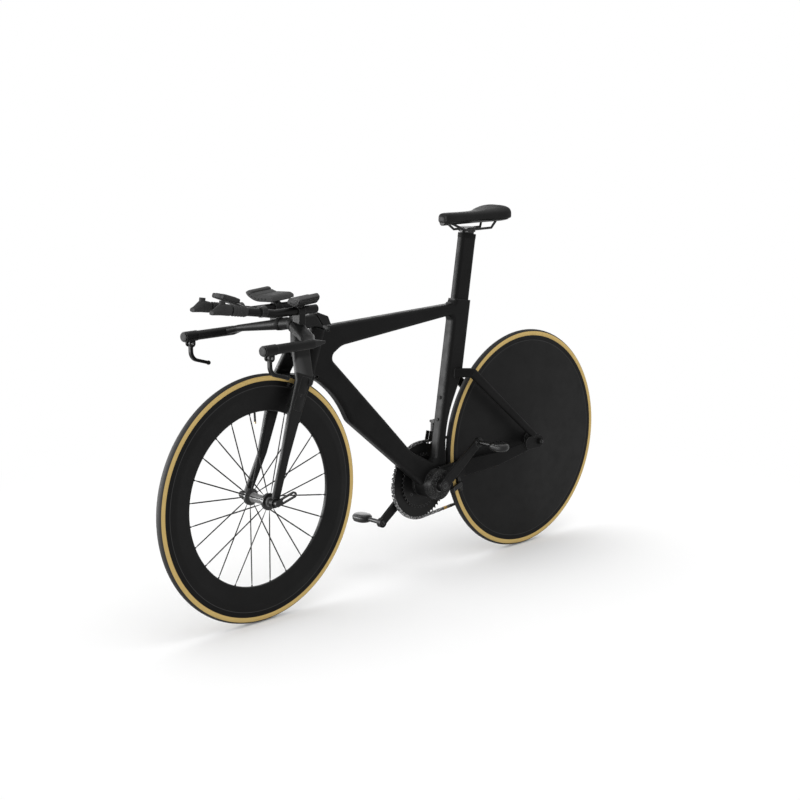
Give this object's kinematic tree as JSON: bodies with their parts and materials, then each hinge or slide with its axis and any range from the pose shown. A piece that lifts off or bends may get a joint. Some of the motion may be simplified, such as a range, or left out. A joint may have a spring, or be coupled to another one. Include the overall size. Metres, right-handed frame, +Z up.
{
  "type": "time_trial_bike",
  "caption": "Matte black time trial bike with a rear disc wheel, a deep front wheel and aero bars with arm pads",
  "frame": {"origin": "on the ground, midway between the two wheel axles, in the middle plane of the bike", "axes": "+X forward, +Y to the rider's left, +Z up"},
  "size_m": [1.718, 0.362, 1.0534],
  "materials": {
    "carbon_black": "matte black moulded carbon fibre",
    "metal_black": "satin black anodised or painted metal",
    "steel": "bare steel",
    "valve_brass": "bare brass",
    "rubber_black": "matte rubber",
    "pulley_plastic": "matte black plastic",
    "tyre_black": "black tread with a tan sidewall",
    "pad_foam": "matte cover over foam"
  },
  "bodies": {
    "frame": {"main_frame": "carbon_black", "stays": "carbon_black", "rear_dropouts": "metal_black", "frame_bearings": "steel", "frame_fasteners": "steel", "rear_axle": "steel", "front_derailleur_bracket": "metal_black", "derailleur_upper_knuckle": "metal_black", "chain": "steel"},
    "seat_post": {"seat_post": "carbon_black", "saddle_clamp": "metal_black"},
    "saddle": {"saddle_rails": "metal_black", "saddle_base": "carbon_black", "saddle_pad": "pad_foam"},
    "steering": {"fork": "carbon_black", "stem": "carbon_black", "stem_cover": "carbon_black", "base_bar": "carbon_black", "lever_housings": "carbon_black", "risers": "carbon_black", "extensions": "carbon_black", "grips": "rubber_black", "shifters": "rubber_black", "pad_cups": "carbon_black", "arm_pads": "pad_foam", "computer_mount": "metal_black", "computer": "pulley_plastic", "front_axle": "steel"},
    "brake_lever_left": {"brake_lever_left": "carbon_black"},
    "brake_lever_right": {"brake_lever_right": "carbon_black"},
    "shift_button_left": {"shift_button_left": "rubber_black"},
    "shift_button_right": {"shift_button_right": "rubber_black"},
    "front_brake_left": {"front_brake_left": "metal_black"},
    "front_brake_right": {"front_brake_right": "metal_black"},
    "rear_brake_left": {"rear_brake_left": "metal_black"},
    "rear_brake_right": {"rear_brake_right": "metal_black"},
    "front_skewer_lever": {"front_skewer_lever": "metal_black"},
    "front_wheel": {"front_tyre": "tyre_black", "front_rim": "carbon_black", "spokes": "metal_black", "valve": "valve_brass", "front_hub": "metal_black"},
    "rear_wheel": {"rear_tyre": "tyre_black", "rear_disc": "carbon_black", "rear_hub": "metal_black"},
    "cassette": {"cassette": "steel"},
    "cranks": {"left_crank": "carbon_black", "right_crank": "carbon_black", "outer_ring": "metal_black", "inner_ring": "metal_black", "crank_fasteners": "steel"},
    "pedal_left": {"pedal_left": "metal_black"},
    "pedal_right": {"pedal_right": "metal_black"},
    "front_derailleur_cage": {"front_derailleur_cage": "metal_black"},
    "derailleur_outer_link": {"derailleur_outer_link": "metal_black"},
    "derailleur_inner_link": {"derailleur_inner_link": "metal_black"},
    "derailleur_lower_knuckle": {"derailleur_lower_knuckle": "metal_black"},
    "derailleur_cage": {"derailleur_cage": "metal_black"},
    "guide_pulley": {"guide_pulley": "pulley_plastic"},
    "tension_pulley": {"tension_pulley": "pulley_plastic"}
  },
  "joints": [
    {"name": "steering_turn", "type": "hinge", "parent": "frame", "child": "steering", "pos_m": [0.3156, 0, 0.764], "axis": [-0.3256, 0, 0.9455], "range_deg": [-35, 35]},
    {"name": "front_wheel_spin", "type": "hinge", "parent": "steering", "child": "front_wheel", "pos_m": [0.525, 0, 0.334], "axis": [0, 1, 0], "continuous": true},
    {"name": "rear_wheel_spin", "type": "hinge", "parent": "frame", "child": "rear_wheel", "pos_m": [-0.525, 0, 0.334], "axis": [0, 1, 0], "continuous": true},
    {"name": "crank_turn", "type": "hinge", "parent": "frame", "child": "cranks", "pos_m": [-0.121, 0, 0.264], "axis": [0, 1, 0], "continuous": true, "deforming": ["chain"]},
    {"name": "cassette_turn", "type": "hinge", "parent": "frame", "child": "cassette", "pos_m": [-0.525, 0, 0.334], "axis": [0, 1, 0], "continuous": true, "deforming": ["chain"]},
    {"name": "pedal_left_turn", "type": "hinge", "parent": "cranks", "child": "pedal_left", "pos_m": [-0.25123, 0, 0.37327], "axis": [0, 1, 0], "continuous": true},
    {"name": "pedal_right_turn", "type": "hinge", "parent": "cranks", "child": "pedal_right", "pos_m": [0.00923, 0, 0.15473], "axis": [0, 1, 0], "continuous": true},
    {"name": "seat_height", "type": "slide", "parent": "frame", "child": "seat_post", "axis": [-0.1599, 0, 0.9871], "range_m": [-0.04, 0.06]},
    {"name": "saddle_fore_aft", "type": "slide", "parent": "seat_post", "child": "saddle", "axis": [1, 0, 0], "range_m": [-0.008, 0.03]},
    {"name": "brake_lever_left_pull", "type": "hinge", "parent": "steering", "child": "brake_lever_left", "pos_m": [0.618, 0.158, 0.741], "axis": [0, 1, 0], "range_deg": [0, 18], "stiffness_Nm_per_rad": 2},
    {"name": "brake_lever_right_pull", "type": "hinge", "parent": "steering", "child": "brake_lever_right", "pos_m": [0.618, -0.158, 0.741], "axis": [0, 1, 0], "range_deg": [0, 18], "stiffness_Nm_per_rad": 2},
    {"name": "front_brake_left_swing", "type": "hinge", "parent": "steering", "child": "front_brake_left", "pos_m": [0.43218, 0.0285, 0.5758], "axis": [0.9336, 0, 0.3584], "range_deg": [0, 1.6]},
    {"name": "front_brake_right_swing", "type": "hinge", "parent": "steering", "child": "front_brake_right", "pos_m": [0.43218, -0.0285, 0.5758], "axis": [-0.9336, 0, -0.3584], "range_deg": [0, 1.6]},
    {"name": "rear_brake_left_swing", "type": "hinge", "parent": "frame", "child": "rear_brake_left", "pos_m": [-0.19125, 0.023, 0.23196], "axis": [0.2924, 0, 0.9563], "range_deg": [0, 1.9]},
    {"name": "rear_brake_right_swing", "type": "hinge", "parent": "frame", "child": "rear_brake_right", "pos_m": [-0.19125, -0.023, 0.23196], "axis": [-0.2924, 0, -0.9563], "range_deg": [0, 1.9]},
    {"name": "shift_button_left_press", "type": "slide", "parent": "steering", "child": "shift_button_left", "axis": [0.1526, -0.0073, -0.9883], "range_m": [0, 0.002], "stiffness_N_per_m": 600},
    {"name": "shift_button_right_press", "type": "slide", "parent": "steering", "child": "shift_button_right", "axis": [0.1526, 0.0073, -0.9883], "range_m": [0, 0.002], "stiffness_N_per_m": 600},
    {"name": "skewer_lever_turn", "type": "hinge", "parent": "steering", "child": "front_skewer_lever", "pos_m": [0.525, 0.0635, 0.334], "axis": [0, 1, 0], "range_deg": [-90, 90]},
    {"name": "front_derailleur_swing", "type": "hinge", "parent": "frame", "child": "front_derailleur_cage", "pos_m": [-0.169, -0.033, 0.436], "axis": [1, 0, 0], "range_deg": [-1, 5], "deforming": ["chain"]},
    {"name": "derailleur_swing", "type": "hinge", "parent": "frame", "child": "derailleur_outer_link", "pos_m": [-0.51564, -0.07797, 0.29178], "axis": [0.8662, 0, 0.4997], "range_deg": [-6, 8], "deforming": ["chain"]},
    {"name": "derailleur_inner_swing", "type": "hinge", "parent": "frame", "child": "derailleur_inner_link", "pos_m": [-0.51778, -0.06783, 0.29549], "axis": [0.8662, 0, 0.4997], "range_deg": [-6, 8]},
    {"name": "derailleur_knuckle_swing", "type": "hinge", "parent": "derailleur_outer_link", "child": "derailleur_lower_knuckle", "pos_m": [-0.50222, -0.06662, 0.26851], "axis": [0.8662, 0, 0.4997], "range_deg": [-8, 6], "deforming": ["chain"]},
    {"name": "derailleur_cage_swing", "type": "hinge", "parent": "derailleur_lower_knuckle", "child": "derailleur_cage", "pos_m": [-0.495, -0.05455, 0.256], "axis": [0, 1, 0], "range_deg": [-15, 15], "stiffness_Nm_per_rad": 1, "deforming": ["chain"]},
    {"name": "guide_pulley_turn", "type": "hinge", "parent": "derailleur_cage", "child": "guide_pulley", "pos_m": [-0.495, -0.041, 0.256], "axis": [0, 1, 0], "continuous": true, "deforming": ["chain"]},
    {"name": "tension_pulley_turn", "type": "hinge", "parent": "derailleur_cage", "child": "tension_pulley", "pos_m": [-0.47194, -0.041, 0.20387], "axis": [0, 1, 0], "continuous": true, "deforming": ["chain"]}
  ],
  "couplings": [
    {"joint": "cassette_turn", "follows": "crank_turn", "ratio": 3.7333},
    {"joint": "guide_pulley_turn", "follows": "crank_turn", "ratio": -5.0909},
    {"joint": "tension_pulley_turn", "follows": "crank_turn", "ratio": 5.0909},
    {"joint": "front_brake_left_swing", "follows": "brake_lever_left_pull", "ratio": 0.08},
    {"joint": "front_brake_right_swing", "follows": "brake_lever_left_pull", "ratio": 0.08},
    {"joint": "rear_brake_left_swing", "follows": "brake_lever_right_pull", "ratio": 0.1},
    {"joint": "rear_brake_right_swing", "follows": "brake_lever_right_pull", "ratio": 0.1},
    {"joint": "derailleur_inner_swing", "follows": "derailleur_swing", "ratio": 1},
    {"joint": "derailleur_knuckle_swing", "follows": "derailleur_swing", "ratio": -1}
  ]
}
